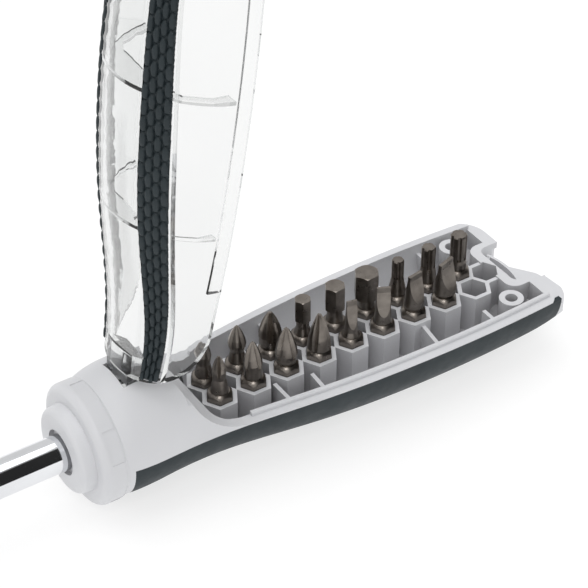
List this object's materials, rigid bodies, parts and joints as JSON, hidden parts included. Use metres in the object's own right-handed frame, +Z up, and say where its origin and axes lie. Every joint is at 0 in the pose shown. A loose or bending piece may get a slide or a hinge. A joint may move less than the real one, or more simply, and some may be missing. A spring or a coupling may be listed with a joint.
{
  "type": "multi-bit screwdriver",
  "caption": "Hollow-handled screwdriver: steel shank with a hexagon drive socket, rubber-skinned tray of seated screwdriver bits and a hinged clear lid.",
  "frame": {"origin": "centre of the hexagon drive opening, in the plane of the shank's front end", "axes": "+X along the handle axis from the drive tip to the tail, +Z up through the closed lid, +Y to the far side of the tray"},
  "size_m": [0.2454, 0.0436, 0.1518],
  "materials": {
    "chrome_steel": "bright nickel-chrome plate",
    "magnet_steel": "nickel-plated magnet",
    "spring_steel": "bright spring wire",
    "pin_steel": "ground steel",
    "grey_plastic": "light grey moulded polypropylene, fine matt texture",
    "dark_rubber": "dark green-black soft-touch rubber",
    "clear_plastic": "clear moulded polycarbonate",
    "bit_steel": "phosphated tool steel, brownish gunmetal"
  },
  "bodies": {
    "handle": {"handle_core": "grey_plastic", "base_grip": "dark_rubber", "shank": "chrome_steel", "drive_magnet": "magnet_steel", "retaining_clip": "spring_steel", "hinge_pin": "pin_steel"},
    "lid": {"lid_shell": "clear_plastic", "lid_grip_near": "dark_rubber", "lid_grip_far": "dark_rubber"},
    "bit_cross_small_body": {"bit_cross_small": "bit_steel"},
    "bit_cross_fluted_body": {"bit_cross_fluted": "bit_steel"},
    "bit_cross_medium_body": {"bit_cross_medium": "bit_steel"},
    "bit_cross_heavy_body": {"bit_cross_heavy": "bit_steel"},
    "bit_slot_narrow_body": {"bit_slot_narrow": "bit_steel"},
    "bit_slot_small_body": {"bit_slot_small": "bit_steel"},
    "bit_slot_medium_body": {"bit_slot_medium": "bit_steel"},
    "bit_slot_wide_body": {"bit_slot_wide": "bit_steel"},
    "bit_cross_fine_body": {"bit_cross_fine": "bit_steel"},
    "bit_cross_round_body": {"bit_cross_round": "bit_steel"},
    "bit_cross_large_body": {"bit_cross_large": "bit_steel"},
    "bit_hex_small_body": {"bit_hex_small": "bit_steel"},
    "bit_hex_medium_body": {"bit_hex_medium": "bit_steel"},
    "bit_hex_large_body": {"bit_hex_large": "bit_steel"},
    "bit_star_small_body": {"bit_star_small": "bit_steel"},
    "bit_star_medium_body": {"bit_star_medium": "bit_steel"},
    "bit_star_large_body": {"bit_star_large": "bit_steel"}
  },
  "joints": [
    {"name": "lid_hinge", "type": "hinge", "parent": "handle", "child": "lid", "pos_m": [0.1201, 0, 0.0109], "axis": [0, -1, 0], "range_deg": [-81.4, 0]},
    {"name": "bit_cross_small_lift", "type": "slide", "parent": "handle", "child": "bit_cross_small_body", "axis": [0, 0, 1], "range_m": [0, 0.014]},
    {"name": "bit_cross_fluted_lift", "type": "slide", "parent": "handle", "child": "bit_cross_fluted_body", "axis": [0, 0, 1], "range_m": [0, 0.014]},
    {"name": "bit_cross_medium_lift", "type": "slide", "parent": "handle", "child": "bit_cross_medium_body", "axis": [0, 0, 1], "range_m": [0, 0.014]},
    {"name": "bit_cross_heavy_lift", "type": "slide", "parent": "handle", "child": "bit_cross_heavy_body", "axis": [0, 0, 1], "range_m": [0, 0.014]},
    {"name": "bit_slot_narrow_lift", "type": "slide", "parent": "handle", "child": "bit_slot_narrow_body", "axis": [0, 0, 1], "range_m": [0, 0.014]},
    {"name": "bit_slot_small_lift", "type": "slide", "parent": "handle", "child": "bit_slot_small_body", "axis": [0, 0, 1], "range_m": [0, 0.014]},
    {"name": "bit_slot_medium_lift", "type": "slide", "parent": "handle", "child": "bit_slot_medium_body", "axis": [0, 0, 1], "range_m": [0, 0.014]},
    {"name": "bit_slot_wide_lift", "type": "slide", "parent": "handle", "child": "bit_slot_wide_body", "axis": [0, 0, 1], "range_m": [0, 0.014]},
    {"name": "bit_cross_fine_lift", "type": "slide", "parent": "handle", "child": "bit_cross_fine_body", "axis": [0, 0, 1], "range_m": [0, 0.014]},
    {"name": "bit_cross_round_lift", "type": "slide", "parent": "handle", "child": "bit_cross_round_body", "axis": [0, 0, 1], "range_m": [0, 0.014]},
    {"name": "bit_cross_large_lift", "type": "slide", "parent": "handle", "child": "bit_cross_large_body", "axis": [0, 0, 1], "range_m": [0, 0.014]},
    {"name": "bit_hex_small_lift", "type": "slide", "parent": "handle", "child": "bit_hex_small_body", "axis": [0, 0, 1], "range_m": [0, 0.014]},
    {"name": "bit_hex_medium_lift", "type": "slide", "parent": "handle", "child": "bit_hex_medium_body", "axis": [0, 0, 1], "range_m": [0, 0.014]},
    {"name": "bit_hex_large_lift", "type": "slide", "parent": "handle", "child": "bit_hex_large_body", "axis": [0, 0, 1], "range_m": [0, 0.014]},
    {"name": "bit_star_small_lift", "type": "slide", "parent": "handle", "child": "bit_star_small_body", "axis": [0, 0, 1], "range_m": [0, 0.014]},
    {"name": "bit_star_medium_lift", "type": "slide", "parent": "handle", "child": "bit_star_medium_body", "axis": [0, 0, 1], "range_m": [0, 0.014]},
    {"name": "bit_star_large_lift", "type": "slide", "parent": "handle", "child": "bit_star_large_body", "axis": [0, 0, 1], "range_m": [0, 0.014]}
  ]
}
